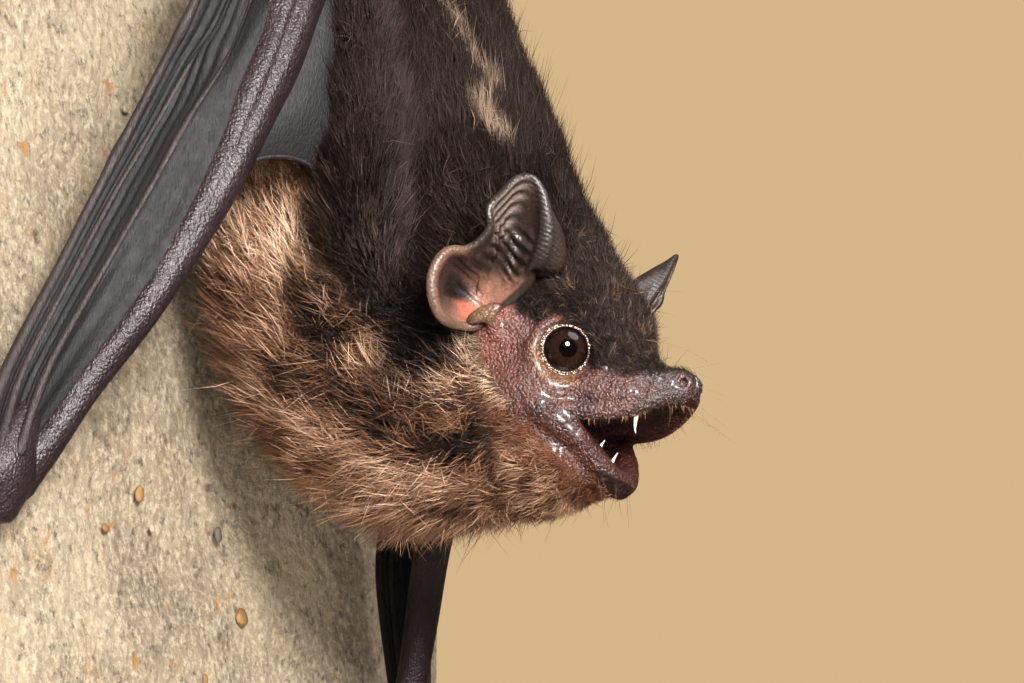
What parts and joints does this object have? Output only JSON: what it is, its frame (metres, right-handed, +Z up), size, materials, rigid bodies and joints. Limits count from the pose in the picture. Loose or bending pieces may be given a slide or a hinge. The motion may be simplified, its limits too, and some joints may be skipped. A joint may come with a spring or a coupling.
{
  "type": "greater sac-winged bat",
  "caption": "Life-size model of a small furred bat clinging head down to a cut slab of cement wall on a display stand, mouth ajar, braced on its folded wings.",
  "frame": {"origin": "on the floor, under the middle of the stand's base", "axes": "+Z up from the base to the bat's feet, -Y out of the wall towards the viewer, +X to the bat's left"},
  "size_m": [0.084, 0.064, 0.168],
  "materials": {
    "coat": "short dense fur",
    "face_skin": "bare pebbled skin, part gloss",
    "ear_skin": "thin ribbed skin, satin",
    "wing_skin": "thin creased skin, satin",
    "eye": "wet gloss",
    "cement": "rough cast cement",
    "stand_paint": "satin black"
  },
  "bodies": {
    "root": {"head": "face_skin", "jaw": "face_skin", "neck": "coat", "chest": "coat", "abdomen": "coat", "eye_right": "eye", "eye_left": "eye", "tragus_right": "ear_skin", "tragus_left": "ear_skin", "ear_right": "ear_skin", "ear_left": "ear_skin", "wrist_right": "wing_skin", "wrist_left": "wing_skin", "thumb_right": "wing_skin", "thumb_left": "wing_skin", "forearm_right": "wing_skin", "forearm_left": "wing_skin", "upper_arm_right": "coat", "upper_arm_left": "coat", "digit3_right": "wing_skin", "digit3_left": "wing_skin", "digit4_right": "wing_skin", "digit4_left": "wing_skin", "digit5_right": "wing_skin", "digit5_left": "wing_skin", "web_arm_right": "wing_skin", "web_arm_left": "wing_skin", "web_outer_right": "wing_skin", "web_outer_left": "wing_skin", "web_edge_right": "wing_skin", "web_edge_left": "wing_skin", "propatagium_right": "wing_skin", "propatagium_left": "wing_skin", "tail": "wing_skin", "thigh_right": "coat", "thigh_left": "coat", "shin_right": "wing_skin", "shin_left": "wing_skin", "foot_right": "wing_skin", "foot_left": "wing_skin", "side_skin_right": "wing_skin", "side_skin_left": "wing_skin", "tail_skin_right": "wing_skin", "tail_skin_left": "wing_skin", "perch_wall": "cement", "stand_base": "stand_paint", "stand_rod_right": "stand_paint", "stand_rod_left": "stand_paint"}
  },
  "joints": []
}
